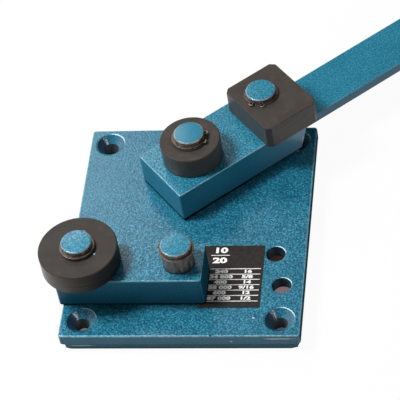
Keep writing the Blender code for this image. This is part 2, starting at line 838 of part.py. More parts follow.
def build_abutment(block_finish, pin_finish, roller_finish, washer_finish, circlip_finish, parent):
    roller_place = (-INDEX_RADIUS, 0)
    rings = []
    for height, inset in edge_levels(ABUTMENT_BOTTOM, ABUTMENT_TOP, ABUTMENT_EDGE_RADIUS):
        outline = rounded_outline(
            inset - INDEX_RADIUS - ABUTMENT_ROLLER_MARGIN,
            ABUTMENT_POST_MARGIN - inset,
            inset - ABUTMENT_DEPTH / 2,
            ABUTMENT_DEPTH / 2 - inset,
            ABUTMENT_CORNER_RADIUS - inset,
        )
        rings.append([(x, y, height) for x, y in outline])
    block = loft("abutment_block", rings, block_finish, parent)
    past = CUT_PAST_SHARE * ABUTMENT_HEIGHT
    bore = [
        (0, ABUTMENT_BOTTOM - past),
        (INDEX_HOLE_RADIUS, ABUTMENT_BOTTOM - past),
        (INDEX_HOLE_RADIUS, ABUTMENT_SHOULDER),
        (BORE_RADIUS, ABUTMENT_SHOULDER),
        (BORE_RADIUS, ABUTMENT_TOP + past),
        (0, ABUTMENT_TOP + past),
    ]
    for place in ((0, 0), roller_place):
        cut(block, turned("pin_bore", bore, PIN_SEGMENTS, place, None, parent))
    smooth(block)
    pins = (
        ("post_pin", POST_CIRCLIP_BOTTOM, (0, 0)),
        ("roller_pin", ROLLER_CIRCLIP_BOTTOM, roller_place),
    )
    for name, circlip_bottom, place in pins:
        stub_pin(
            name,
            INDEX_HOLE_RADIUS - GAP,
            STUB_LIFT,
            ABUTMENT_SHOULDER,
            circlip_bottom,
            place,
            pin_finish,
            parent,
        )
    roller = turned(
        "abutment_roller",
        ring_profile(
            BORE_RADIUS,
            ABUTMENT_ROLLER_RADIUS,
            ABUTMENT_ROLLER_BOTTOM,
            ABUTMENT_ROLLER_BOTTOM + ABUTMENT_ROLLER_HEIGHT,
            ROLLER_CHAMFER,
        ),
        ROLLER_SEGMENTS,
        roller_place,
        roller_finish,
        parent,
    )
    washer = turned(
        "roller_washer",
        ring_profile(
            BORE_RADIUS,
            SUPPORT_WASHER_RADIUS,
            ROLLER_WASHER_BOTTOM,
            ROLLER_WASHER_BOTTOM + SUPPORT_WASHER_THICKNESS,
        ),
        PIN_SEGMENTS,
        roller_place,
        washer_finish,
        parent,
    )
    smooth(roller)
    smooth(washer)
    circlip(
        "roller_circlip",
        ROLLER_CIRCLIP_BOTTOM,
        ROLLER_CIRCLIP_DEG,
        roller_place,
        circlip_finish,
        parent,
    )
    circlip("post_circlip", POST_CIRCLIP_BOTTOM, POST_CIRCLIP_DEG, (0, 0), circlip_finish, parent)


def main():
    clear_scene()
    paint = material("hammer_paint", (0.035, 0.26, 0.42), 0.35, 0.38)
    pin_steel = material("pin_steel", (0.30, 0.28, 0.26), 0.9, 0.42)
    oxide_steel = material("oxide_steel", (0.085, 0.072, 0.064), 0.6, 0.5)
    spring_steel = material("spring_steel", (0.07, 0.055, 0.045), 0.8, 0.35)
    bronze = material("bronze", (0.55, 0.33, 0.12), 0.9, 0.4)
    weld_steel = material("weld_paint", (0.03, 0.22, 0.36), 0.35, 0.5)
    label_black = material("label_print", (0.015, 0.014, 0.014), 0.1, 0.45)
    build_plate(paint)
    build_label(label_black)
    build_pivot(pin_steel, oxide_steel, oxide_steel, spring_steel)
    lever = axis("lever_axis", (0, PIVOT_Y, 0), math.radians(LEVER_ANGLE_DEG))
    build_lever_block(paint, lever)
    build_lever_bearings(bronze, bronze, lever)
    build_handle(paint, weld_steel, lever)
    build_bending_set(pin_steel, oxide_steel, spring_steel, lever)
    abutment = axis("abutment_axis", (0, POST_Y, 0))
    build_abutment(paint, pin_steel, oxide_steel, oxide_steel, spring_steel, abutment)


main()
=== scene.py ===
"""Looks of a bench-mounted rebar bender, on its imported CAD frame. Lengths are in metres."""

import json
import math

import bmesh
import bpy
from mathutils import Matrix, Vector


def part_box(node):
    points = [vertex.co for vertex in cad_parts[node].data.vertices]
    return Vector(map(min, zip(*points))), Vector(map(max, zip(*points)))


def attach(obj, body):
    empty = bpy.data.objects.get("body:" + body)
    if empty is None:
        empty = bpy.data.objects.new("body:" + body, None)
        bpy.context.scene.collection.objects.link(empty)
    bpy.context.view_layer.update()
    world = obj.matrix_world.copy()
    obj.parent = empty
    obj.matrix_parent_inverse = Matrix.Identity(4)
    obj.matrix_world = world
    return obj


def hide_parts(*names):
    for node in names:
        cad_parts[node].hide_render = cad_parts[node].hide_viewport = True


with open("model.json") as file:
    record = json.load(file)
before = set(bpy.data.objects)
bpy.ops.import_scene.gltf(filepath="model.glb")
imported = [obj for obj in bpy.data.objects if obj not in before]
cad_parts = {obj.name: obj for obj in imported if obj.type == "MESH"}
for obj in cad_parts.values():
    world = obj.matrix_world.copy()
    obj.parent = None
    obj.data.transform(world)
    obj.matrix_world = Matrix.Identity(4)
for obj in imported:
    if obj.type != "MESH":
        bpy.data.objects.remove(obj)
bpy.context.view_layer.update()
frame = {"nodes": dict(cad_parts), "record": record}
NODES = frame["nodes"]
TAU = 2 * math.pi

# How uneven the outlines of scratches and flecks are
RAGGEDNESS = 1.4

# The photograph's size in pixels and the camera fitted to it
IMAGE_SIZE = 400
SENSOR = 36
CAMERA_AZIMUTH = math.radians(13.776)
CAMERA_ELEVATION = math.radians(47.512)
CAMERA_ROLL = math.radians(-10.996)
CAMERA_DISTANCE = 2.35033
CAMERA_TARGET = Vector((0.008906, 0.025113, 0.040))
CAMERA_FOCAL_PIXELS = 2215.293
CAMERA_CLIP = (0.05, 20)


def node_centre(node):
    low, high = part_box(node)
    return (low + high) / 2


def new_object(name, data):
    obj = bpy.data.objects.new(name, data)
    bpy.context.scene.collection.objects.link(obj)
    return obj


class Nodes:
    """A node tree, built a step at a time."""

    place = None

    def __init__(self, tree):
        self.tree = tree

    def add(self, kind, **settings):
        node = self.tree.nodes.new(kind)
        for key, value in settings.items():
            setattr(node, key, value)
        return node

    def feed(self, socket, value):
        """Links a socket to another, or sets a plain number or colour."""
        if isinstance(value, bpy.types.NodeSocket):
            self.tree.links.new(value, socket)
        elif isinstance(value, (tuple, list)) and len(value) == 3 and socket.type == "RGBA":
            socket.default_value = (*value, 1)
        else:
            socket.default_value = value

    def split(self, vector=None):
        """The x, y and z of a vector, or else of the place on the piece."""
        node = self.add("ShaderNodeSeparateXYZ")
        self.feed(node.inputs[0], vector or self.place)
        return node.outputs


class Shader(Nodes):
    """A material's node tree."""

    def __init__(self, name):
        self.material = bpy.data.materials.new(name)
        self.material.use_nodes = True
        super().__init__(self.material.node_tree)
        self.out = self.tree.nodes["Principled BSDF"]
        self.place = self.add("ShaderNodeTexCoord").outputs["Object"]

    def noise(self, scale, detail=2.0, rough=0.5, distortion=0.0, place=None):
        node = self.add("ShaderNodeTexNoise")
        self.feed(node.inputs["Vector"], place or self.place)
        self.feed(node.inputs["Scale"], scale)
        self.feed(node.inputs["Detail"], detail)
        self.feed(node.inputs["Roughness"], rough)
        self.feed(node.inputs["Distortion"], distortion)
        return node.outputs["Fac"]

    def cells(self, scale, smooth):
        """Distance to the nearest of many scattered points, for rounded cells."""
        node = self.add("ShaderNodeTexVoronoi", feature="SMOOTH_F1")
        self.feed(node.inputs["Vector"], self.place)
        self.feed(node.inputs["Scale"], scale)
        self.feed(node.inputs["Smoothness"], smooth)
        return node.outputs["Distance"]

    def math(self, operation, a, b=0.0, clamp=False):
        node = self.add("ShaderNodeMath", operation=operation, use_clamp=clamp)
        self.feed(node.inputs[0], a)
        self.feed(node.inputs[1], b)
        return node.outputs[0]

    def plus(self, a, b):
        return self.math("ADD", a, b)

    def minus(self, a, b):
        return self.math("SUBTRACT", a, b)

    def times(self, a, b, clamp=False):
        return self.math("MULTIPLY", a, b, clamp)

    def greater(self, a, b):
        """The greater of two values."""
        return self.math("MAXIMUM", a, b)

    def absolute(self, a):
        """A value without its sign."""
        return self.math("ABSOLUTE", a)

    def along(self, x, y, way):
        """How far x and y reach along a level way."""
        return self.plus(self.times(x, way[0]), self.times(y, way[1]))

    def span(self, value, low, high, to_low=0.0, to_high=1.0):
        """A smooth step from to_low, at low, to to_high, at high."""
        node = self.add("ShaderNodeMapRange", interpolation_type="SMOOTHSTEP")
        self.feed(node.inputs["Value"], value)
        self.feed(node.inputs["From Min"], low)
        self.feed(node.inputs["From Max"], high)
        self.feed(node.inputs["To Min"], to_low)
        self.feed(node.inputs["To Max"], to_high)
        return node.outputs["Result"]

    def mix(self, share, a, b):
        node = self.add("ShaderNodeMix", data_type="RGBA", blend_type="MIX")
        self.feed(node.inputs[0], share)
        self.feed(node.inputs[6], a)
        self.feed(node.inputs[7], b)
        return node.outputs[2]

    def ramp(self, value, stops):
        """A colour from a ramp of (place, colour) stops."""
        node = self.add("ShaderNodeValToRGB")
        self.feed(node.inputs["Fac"], value)
        ramp = node.color_ramp
        while len(ramp.elements) < len(stops):
            ramp.elements.new(0.5)
        for element, (at, colour) in zip(ramp.elements, stops):
            element.position = at
            element.color = (*colour, 1)
        return node.outputs["Color"]

    def normal(self):
        """The x, y and z of the way that the face looks."""
        return self.split(self.add("ShaderNodeNewGeometry").outputs["True Normal"])

    def scaled(self, factors, offset=(0, 0, 0)):
        """The piece's own coordinates, stretched and moved."""
        node = self.add("ShaderNodeMapping")
        self.feed(node.inputs["Vector"], self.place)
        node.inputs["Scale"].default_value = factors
        node.inputs["Location"].default_value = offset
        return node.outputs["Vector"]

    def round_normal(self, radius):
        node = self.add("ShaderNodeBevel", samples=6)
        self.feed(node.inputs["Radius"], radius)
        return node.outputs[0]

    def edges(self, radius, low, high):
        """1 close to a sharp edge and 0 on flat faces, and how far the edge looks up."""
        rounded = self.round_normal(radius)
        geometry = self.add("ShaderNodeNewGeometry")
        dot = self.add("ShaderNodeVectorMath", operation="DOT_PRODUCT")
        self.feed(dot.inputs[0], rounded)
        self.feed(dot.inputs[1], geometry.outputs["True Normal"])
        turned = self.minus(1.0, dot.outputs["Value"])
        return self.span(turned, low, high), self.split(rounded)[2]

    def away(self, x, y, *ways):
        """Distance from an upright line. With ways, also how nearly each way it lies, up to 1."""
        at_x, at_y, _ = self.split()
        dx = self.minus(at_x, x)
        dy = self.minus(at_y, y)
        length = self.math("SQRT", self.plus(self.times(dx, dx), self.times(dy, dy)))
        if not ways:
            return length
        return (length, *(self.math("DIVIDE", self.along(dx, dy, way), length) for way in ways))

    def patch(self, centre, halves):
        """1 inside a ragged ellipsoid and 0 outside."""
        centred = self.scaled([1 / h for h in halves], [-c / h for c, h in zip(centre, halves)])
        length = self.add("ShaderNodeVectorMath", operation="LENGTH")
        self.feed(length.inputs[0], centred)
        uneven = self.times(self.minus(self.noise(900, 3.0), 0.5), RAGGEDNESS)
        return self.span(self.plus(length.outputs["Value"], uneven), 0.75, 1.15, 1.0, 0.0)

    def marked(self, colour, marks):
        """The colour with marks on it, each (centre, half sizes, colour)."""
        for centre, halves, tint in marks:
            colour = self.mix(self.patch(centre, halves), colour, tint)
        return colour

    def bump(self, height, strength, distance, rounding=0.0, coat_share=1.0):
        """Relief, with sharp edges rounded off. The coat gets coat_share of it."""
        coat_strength = strength if coat_share == 1 else self.times(strength, coat_share)
        for socket, relief in (("Normal", strength), ("Coat Normal", coat_strength)):
            node = self.add("ShaderNodeBump")
            self.feed(node.inputs["Height"], height)
            self.feed(node.inputs["Strength"], relief)
            self.feed(node.inputs["Distance"], distance)
            if rounding:
                self.feed(node.inputs["Normal"], self.round_normal(rounding))
            self.feed(self.out.inputs[socket], node.outputs[0])

    def finish(self, colour, roughness, metallic=0.0, specular=0.5, coat=0.0, coat_rough=0.2):
        self.feed(self.out.inputs["Base Color"], colour)
        self.feed(self.out.inputs["Roughness"], roughness)
        self.feed(self.out.inputs["Metallic"], metallic)
        self.feed(self.out.inputs["Specular IOR Level"], specular)
        self.feed(self.out.inputs["Coat Weight"], coat)
        self.out.inputs["Coat Roughness"].default_value = coat_rough
        return self.material


# Enamel: the colours of pits, body, flakes and the brightest flecks
PAINT_COLOURS = (
    (0.006, 0.064, 0.118),
    (0.010, 0.135, 0.222),
    (0.014, 0.225, 0.345),
    (0.100, 0.380, 0.500),
)
FLAKE_SCALE = 510
SPECK_SCALE = 1180
CELL_SCALE = 420
MOTTLING = 1.55
# Painted sheen: a paler tint for upright faces
PAINTED_SHEEN = (0.110, 0.170, 0.250)
# Painted shade for right-hand faces, front faces and the foot
PAINTED_SHADE = (0.004, 0.030, 0.052)
# Painted reflection on upright faces that look one way
PAINTED_REFLECTION = (0.300, 0.480, 0.650)
# Pale for edges, from wear and a painted highlight
EDGE_WEAR_AND_HIGHLIGHT = (0.240, 0.500, 0.610)
CORNER_SHADE = (0.006, 0.020, 0.035)
# Black painted contact shadow along lower edges
CONTACT_SHADOW = (0.001, 0.002, 0.003)
EDGE_REACH = 0.0014
EDGE_ROUNDING = 0.0010
RELIEF = 0.0006
SKIRT_WANDER = 0.0012
# How far up the painted shade fades, on front faces and at the foot
FRONT_FADE = 0.037
FOOT_FADE = 0.0012

# Round the plate's holes: painted highlights on the rims, painted shade and painted light on the
# countersinks' walls, and a painted streak of light in them
RIM_HIGHLIGHT_WAY = (0.60, 0.80)
RIM_HIGHLIGHT = (0.62, 0.84, 0.92)
RIM_HIGHLIGHT_START = 0.0003
RIM_HIGHLIGHT_FADE = (0.0010, 0.0015)
CONE_STREAK_WAY = (-0.60, 0.80)
CONE_STREAK_LIGHT = (0.62, 0.72, 0.82)
LIP_WIDTH = 0.0017
LIP_HEIGHT = 1.1
CONE_LEFT_SHADE = (0.014, 0.017, 0.036)
CONE_RIGHT_LIGHT = (0.36, 0.42, 0.48)
BOLT_WALL = (0.105, 0.130, 0.150)
WALL_COLOURS = ((0.35, (0.006, 0.040, 0.075)), (0.65, (0.030, 0.085, 0.125)))

# Painted shadow on the plate, along the front of the abutment
ABUTMENT_SHADOW = (0.002, 0.028, 0.042)
ABUTMENT_SHADOW_FRONT = (-0.1175, -0.1050)
ABUTMENT_SHADOW_BACK = (-0.1040, -0.1000)
ABUTMENT_SHADOW_LEFT = (-0.110, -0.070)
ABUTMENT_SHADOW_RIGHT = (0.020, 0.050)


def hole_masks(s, holes):
    """Masks round the plate's holes, which are (x, y, bore radius, rim radius)."""
    # The scuff mask marks a painted streak of light down each countersink
    # The worn mask marks a painted highlight on one side of each rim
    masks = dict.fromkeys(("bore", "bolt", "sunk", "worn", "scuff"), 0.0)
    masks["lip"] = masks["outside"] = 1.0
    for x, y, bore, rim in holes:
        away, ahead, aside = s.away(x, y, RIM_HIGHLIGHT_WAY, CONE_STREAK_WAY)
        in_bore = s.span(away, bore * 1.004, bore * 1.02, 1.0, 0.0)
        ring_end = (rim + fade for fade in RIM_HIGHLIGHT_FADE)
        ring = s.times(s.span(away, rim, rim + RIM_HIGHLIGHT_START), s.span(away, *ring_end, 1.0, 0.0))
        inner = s.span(away, rim * 0.90, rim, 1.0, 0.0)
        band = s.times(s.span(aside, 0.978, 0.998, 0.0, 0.75), inner)
        masks["bore"] = s.greater(masks["bore"], in_bore)
        if rim > bore:
            masks["bolt"] = s.greater(masks["bolt"], in_bore)
        masks["sunk"] = s.greater(masks["sunk"], s.span(away, rim * 0.97, rim, 1.0, 0.0))
        masks["worn"] = s.greater(masks["worn"], s.times(ring, s.span(ahead, 0.60, 0.95)))
        masks["scuff"] = s.greater(masks["scuff"], band)
        masks["lip"] = s.math("MINIMUM", masks["lip"], s.span(away, rim, rim + LIP_WIDTH))
        masks["outside"] = s.times(masks["outside"], s.span(away, rim * 0.99, rim))
    return masks


def hole_colours(s, colour, masks, normal_x, normal_z, flake):
    """The colour with a painted highlight on one side of each rim, painted shade, painted light
    and a painted streak of light in the countersinks, and greasy bores.
    """
    # Painted shade on countersink walls that look right, painted light on those that look left
    cone = s.times(masks["sunk"], s.span(normal_z, 0.90, 0.97, 1.0, 0.0))
    colour = s.mix(s.times(cone, s.span(normal_x, 0.15, 0.50, 0.0, 0.82)), colour, CONE_LEFT_SHADE)
    colour = s.mix(s.times(cone, s.span(normal_x, -0.60, -0.15, 0.20, 0.0)), colour, CONE_RIGHT_LIGHT)
    # A painted streak of light down one side of each countersink
    scuff = s.times(cone, s.times(masks["scuff"], s.span(flake, 0.42, 0.58, 0.10, 1.0)))
    colour = s.mix(scuff, colour, CONE_STREAK_LIGHT)
    # Painted highlight on one side of each rim
    colour = s.mix(s.times(masks["worn"], 0.85), colour, RIM_HIGHLIGHT)
    colour = s.mix(masks["bore"], colour, s.ramp(s.noise(260, 3.0), WALL_COLOURS))
    return s.mix(s.times(masks["bolt"], 0.85), colour, BOLT_WALL)


def abutment_shadow_mask(s, at_x, at_y, patch):
    """A mask of painted shadow on the plate along the front of the abutment."""
    near = s.times(s.span(at_y, *ABUTMENT_SHADOW_FRONT), s.span(at_y, *ABUTMENT_SHADOW_BACK, 1.0, 0.0))
    along = s.times(s.span(at_x, *ABUTMENT_SHADOW_LEFT), s.span(at_x, *ABUTMENT_SHADOW_RIGHT, 1.0, 0.0))
    return s.times(s.times(near, along), s.span(patch, 0.30, 0.70, 0.45, 0.70))


def paint_edges(s, normal_x, normal_y, normal_z):
    """Masks of the upper, upright and lower edges. Sloping faces count as upper edges."""
    mask, up = s.edges(EDGE_REACH, 0.02, 0.30)
    upper = s.times(mask, s.span(up, 0.12, 0.40))
    lower = s.times(mask, s.span(up, -0.40, -0.12, 1.0, 0.0))
    upright = s.minus(s.minus(mask, upper), lower)
    steepest = s.greater(s.absolute(normal_x), s.absolute(normal_y))
    sloping = s.times(s.span(steepest, 0.10, 0.30), s.span(normal_z, 0.10, 0.30))
    return s.greater(upper, sloping), upright, lower


def dull_shaded_faces(s, normal_x, normal_y, at_z, front, fade_from, foot):
    """A mask of dull paint with painted shade: right-hand faces, front faces darker towards the
    bottom, and the foot.
    """
    dull = s.span(normal_x, 0.80, 0.95)
    if front:
        fading = s.span(at_z, fade_from, fade_from + FRONT_FADE, front * 1.45, front * 0.50)
        dull = s.greater(dull, s.times(fading, s.span(normal_y, -0.97, -0.85, 1.0, 0.0)))
    if foot:
        dull = s.greater(dull, s.span(at_z, foot, foot + FOOT_FADE, 0.75, 0.0))
    return dull


def hammer_paint(
    name, grain=1.0, wear_and_highlight=1.0, depth=1.0, lift=0.0, coat=0.80,
    front=0.0, foot=0.0, upright_sheen=0.10, shadow_band=None, rubbed=None, holes=(), marks=(),
):
    """Hammered metallic enamel: fine pits and flakes, pale along sharp edges from wear and a
    painted highlight.

    grain is how fine the pits are, depth how strong and lift how pale. front is how dull the front
    faces are and how much painted shade they get, darker towards the bottom, and foot the height
    below which the paint is dull and darkened with painted shade all round. Another share makes
    the upright faces paler with a painted sheen. A (height, width) pair gives a band of black
    painted contact shadow along the lower edges. A (place, near, far, way) tuple makes upright
    faces that look that way grow paler, a painted reflection, from near to far from the upright
    line at that place. The rims of holes have a lip of paint and a painted highlight on one side,
    their countersinks painted shade, painted light and a painted streak of light, and their walls
    are greasy. marks are scratches, flecks and painted highlights.
    """
    s = Shader(name)
    flake = s.noise(FLAKE_SCALE * grain, 3.0, 0.62)
    speck = s.noise(SPECK_SCALE * grain)
    patch = s.noise(30, 3.0, 0.55)
    cells = s.cells(CELL_SCALE * grain, 0.5)
    normal_x, normal_y, normal_z = s.normal()
    at_x, at_y, at_z = s.split()
    level = s.span(s.absolute(normal_z), 0.30, 0.80, 0.28, 1.0)

    tone = s.plus(s.times(flake, 0.62), s.times(speck, 0.38))
    tone = s.plus(tone, s.times(s.minus(patch, 0.5), 0.09))
    strength = level
    if holes:
        strength = s.times(level, s.span(s.minus(at_y, at_x), 0.00, 0.20, 1.0, 0.34))
    tone = s.times(s.times(s.minus(tone, 0.5), strength), MOTTLING * depth)
    stops = tuple(zip((0.36, 0.47, 0.58, 0.70), PAINT_COLOURS))
    colour = s.ramp(s.plus(tone, 0.5 + lift), stops)
    # Painted sheen: upright faces are made paler
    colour = s.mix(s.span(level, 0.30, 0.90, upright_sheen, 0.0), colour, PAINTED_SHEEN)
    # Painted reflection: upright faces that look the given way grow paler
    if rubbed:
        place, near, far, way = rubbed
        looks = s.span(s.along(normal_x, normal_y, way), 0.80, 0.95)
        pale = s.times(s.span(s.away(*place), near, far, 0.0, 0.42), looks)
        colour = s.mix(pale, colour, PAINTED_REFLECTION)

    edge, upright, lower = paint_edges(s, normal_x, normal_y, normal_z)
    height = s.plus(s.times(cells, 0.8), s.times(flake, 0.9))
    if holes:
        masks = hole_masks(s, holes)
        edge = s.times(edge, masks["outside"])
        height = s.plus(height, s.times(masks["lip"], LIP_HEIGHT))
    # Upper edges pale from wear and a painted highlight
    chips = s.span(s.noise(300, 3.0, 0.6), 0.42, 0.58, 0.55, 1.0)
    colour = s.mix(s.times(s.times(edge, chips), wear_and_highlight * 0.85, True), colour, EDGE_WEAR_AND_HIGHLIGHT)
    colour = s.mix(s.times(upright, 0.80), colour, CORNER_SHADE)
    # A band of painted contact shadow along the lower edges
    skirt_low, skirt_width = shadow_band or (0.0, 0.0)
    if shadow_band:
        above = s.plus(at_z, s.times(s.minus(s.noise(90), 0.5), SKIRT_WANDER))
        skirt_top = skirt_low + skirt_width
        greasy = s.span(above, skirt_low + skirt_width * 0.6, skirt_top, 1.0, 0.0)
        lower = s.greater(lower, greasy)
    # Black painted contact shadow on the lower edges and the band
    colour = s.mix(s.times(lower, 0.97), colour, CONTACT_SHADOW)
    # Painted shade, with duller paint, on right-hand faces, front faces and the foot
    dull = dull_shaded_faces(s, normal_x, normal_y, at_z, front, skirt_low, foot)
    colour = s.mix(s.times(dull, 0.55), colour, PAINTED_SHADE)
    if holes:
        # Painted shadow on the plate along the front of the abutment
        colour = s.mix(abutment_shadow_mask(s, at_x, at_y, patch), colour, ABUTMENT_SHADOW)
        colour = hole_colours(s, colour, masks, normal_x, normal_z, flake)
    colour = s.marked(colour, marks)

    s.bump(height, s.times(level, 0.65 * depth), RELIEF / grain, EDGE_ROUNDING, 0.35)
    clean = s.minus(1.0, s.greater(s.times(upright, 0.85), s.greater(dull, lower)))
    gloss = s.times(s.span(level, 0.28, 1.0, coat * 0.88, coat), clean)
    gloss = s.times(gloss, s.span(tone, -0.04, 0.03, 0.74, 1.0))
    rough = s.span(s.noise(90), 0.3, 0.7, 0.42, 0.54)
    return s.finish(colour, rough, s.times(clean, 0.15), s.times(clean, 0.14), gloss)


# Half of the handle bar's width, and how close the weld's ripples are
HANDLE_HALF = 0.0283
RIPPLE_TURNS = 1250.0


def weld_paint(name, way, middle, half):
    """Enamel over a weld bead.

    Its ripples follow each other along way, and upwards beyond half from the middle.
    """
    s = Shader(name)
    at_x, at_y, at_z = s.split()
    across = s.along(at_x, at_y, way)
    beside = s.math("GREATER_THAN", s.absolute(s.minus(across, middle.dot(way))), half)
    along = s.plus(s.times(across, s.minus(1.0, beside)), s.times(at_z, beside))
    along = s.plus(along, s.times(s.noise(150), 0.0022))
    wave = s.absolute(s.math("SINE", s.times(along, RIPPLE_TURNS)))
    fleck = s.noise(900, 3.0, 0.6)
    tone = s.plus(s.times(wave, 0.45), s.times(fleck, 0.55))
    colour = s.ramp(tone, tuple(zip((0.30, 0.50, 0.66, 0.78), PAINT_COLOURS)))
    s.bump(s.plus(wave, s.times(fleck, 0.25)), 0.9, 0.0011, 0.0006)
    return s.finish(colour, s.span(fleck, 0.3, 0.7, 0.36, 0.50), 0.15, 0.14, 0.7, 0.18)


OXIDE_COLOURS = (
    (0.30, (0.032, 0.028, 0.025)),
    (0.52, (0.050, 0.041, 0.036)),
    (0.72, (0.068, 0.056, 0.049)),
)
OXIDE_HUES = (
    (0.38, (0.056, 0.056, 0.048)),
    (0.52, (0.062, 0.048, 0.040)),
    (0.66, (0.105, 0.070, 0.050)),
)
OXIDE_GRAIN = (0.11, 0.098, 0.09)
# Painted light: a paler tint for upright sides
OXIDE_SIDE_LIGHT = (0.125, 0.118, 0.112)
# A darker tone, painted shade and painted light, for the shade argument
OXIDE_DARK = (0.020, 0.018, 0.017)
OXIDE_PAINTED_SHADE = (0.008, 0.007, 0.007)
OXIDE_LIT = (0.26, 0.25, 0.24)
OXIDE_LINES = (0.15, 0.142, 0.135)
OXIDE_RUBBED = (0.30, 0.27, 0.24)
CUTS_PER_METRE = 3200.0


def oxide_steel(name, rings=None, shade=0.0, glare=1.0, marks=()):
    """Blackened machined steel with faint turning marks and warm handling stains, its upright
    sides paler with painted light.

    rings is the (x, y) that the turning marks go round; without it they are straight. shade is
    painted shade: it darkens the piece, most of all where its side looks right, and paints light
    on the side that looks left. glare is the share of shine left where a side looks right.
    """
    s = Shader(name)
    normal_x, _, normal_z = s.normal()
    facing = s.absolute(normal_z)

    def by_facing(side, top):
        return s.span(facing, 0.2, 0.8, side, top)

    specular = s.times(by_facing(0.28, 0.20), s.span(normal_x, 0.60, 0.85, 1.0, glare))
    stain = s.noise(38, 4.0, 0.6)
    grain = s.noise(1900, 2.0, 0.6)
    colour = s.ramp(stain, OXIDE_COLOURS)
    colour = s.mix(s.span(grain, 0.35, 0.75, 0.0, 0.25), colour, OXIDE_GRAIN)
    # Painted light: upright sides paler than the tops
    colour = s.mix(by_facing(0.16, 0.0), colour, OXIDE_SIDE_LIGHT)
    colour = s.mix(0.28, colour, s.ramp(s.noise(75, 3.0, 0.6), OXIDE_HUES))
    # Painted shade, deepest where the side looks right, and painted light where it looks left
    if shade:
        side = by_facing(1.0, 0.0)
        turned_away = s.times(side, s.span(normal_x, -0.60, 0.75))
        towards = s.times(side, s.span(normal_x, -0.90, -0.65, 0.40, 0.0))
        colour = s.mix(shade, colour, OXIDE_DARK)
        colour = s.mix(s.times(turned_away, 0.85), colour, OXIDE_PAINTED_SHADE)
        colour = s.mix(towards, colour, OXIDE_LIT)
        specular = s.times(specular, s.minus(1.0, s.times(turned_away, 0.8)))
    lines = s.noise(1.0, place=s.scaled((26, 26, 1500)))
    colour = s.mix(s.times(s.span(lines, 0.40, 0.62), by_facing(0.22, 0.06)), colour, OXIDE_LINES)
    edge, _ = s.edges(0.0009, 0.03, 0.3)
    rubbed = s.times(edge, s.span(s.noise(260, 3.0), 0.42, 0.6))
    colour = s.mix(s.times(rubbed, 0.6), colour, OXIDE_RUBBED)
    colour = s.marked(colour, marks)

    if rings is None:
        cuts = s.noise(1.0, place=s.scaled((150, 150, 2600)))
    else:
        across = s.add("ShaderNodeCombineXYZ")
        s.feed(across.inputs[0], s.times(s.away(*rings), CUTS_PER_METRE))
        s.feed(across.inputs[1], s.times(s.split()[2], CUTS_PER_METRE))
        cuts = s.noise(1.0, 1.0, place=across.outputs[0])
    s.bump(s.plus(s.times(cuts, 0.7), s.times(grain, 0.5)), 0.35, 0.00012, 0.0004)
    rough = s.times(s.span(stain, 0.3, 0.7, 0.48, 0.60), by_facing(0.62, 1.0))
    return s.finish(colour, rough, 0.15, specular)


SPRING_COLOURS = ((0.35, (0.080, 0.063, 0.051)), (0.65, (0.175, 0.140, 0.118)))
SPRING_LUG = (0.34, 0.29, 0.25)
# Painted highlights along the circlips' edges, brighter on the lugs
SPRING_EDGE_HIGHLIGHT = (0.36, 0.30, 0.265)
SPRING_LUG_HIGHLIGHT = (0.66, 0.57, 0.50)


def spring_steel(name, centre, ring):
    """Blued spring steel, brighter beyond the ring's radius, where pliers have worn the lugs, with
    painted highlights along its edges.
    """
    s = Shader(name)
    tone = s.noise(260, 3.0, 0.6)
    lug = s.span(s.away(*centre), ring, ring + 0.0006)
    edge, _ = s.edges(0.0009, 0.02, 0.25)
    colour = s.mix(s.times(lug, 0.45), s.ramp(tone, SPRING_COLOURS), SPRING_LUG)
    # Painted highlights along the edges
    colour = s.mix(s.times(edge, 0.9), colour, s.mix(lug, SPRING_EDGE_HIGHLIGHT, SPRING_LUG_HIGHLIGHT))
    s.bump(s.noise(1500), 0.2, 0.00006, 0.0003)
    return s.finish(colour, s.span(tone, 0.3, 0.7, 0.30, 0.42), 0.6)


SHANK_COLOURS = (
    (0.32, (0.060, 0.052, 0.045)),
    (0.50, (0.155, 0.138, 0.120)),
    (0.66, (0.300, 0.275, 0.250)),
)
SHANK_CLOUD = (0.075, 0.066, 0.058)
SHANK_FOOT_DARK = (0.010, 0.016, 0.020)


def shank_steel(name, foot=None):
    """Greasy bare steel, cloudy, with a faint grain along its length, darker towards its foot."""
    s = Shader(name)
    streak = s.noise(1.0, 3.0, 0.6, 0.3, s.scaled((300, 300, 60)))
    cloud = s.noise(95, 3.0, 0.6)
    colour = s.mix(s.span(cloud, 0.45, 0.7, 0.0, 0.45), s.ramp(streak, SHANK_COLOURS), SHANK_CLOUD)
    # Darker towards the foot
    if foot:
        foot_darkening = s.span(s.split()[2], foot, foot + 0.0030, 0.9, 0.0)
        colour = s.mix(foot_darkening, colour, SHANK_FOOT_DARK)
    s.bump(s.plus(streak, s.times(s.noise(1300), 0.4)), 0.25, 0.00012, 0.0004)
    return s.finish(colour, s.span(cloud, 0.3, 0.7, 0.34, 0.50), 0.45)


def rim_steel(name, painted):
    """A pin's worn chamfer: bright steel with some of the paint left on it."""
    s = Shader(name)
    tone = s.noise(330, 3.0, 0.6)
    colour = s.ramp(tone, ((0.35, (0.26, 0.24, 0.22)), (0.65, (0.62, 0.60, 0.57))))
    left = s.span(s.noise(240, 3.0, 0.6), 0.42, 0.60, painted - 0.3, painted + 0.3)
    colour = s.mix(left, colour, (0.10, 0.34, 0.45))
    s.bump(s.noise(1500), 0.2, 0.00006, 0.0003)
    return s.finish(colour, s.span(tone, 0.3, 0.7, 0.28, 0.40), 0.45, coat=0.4)


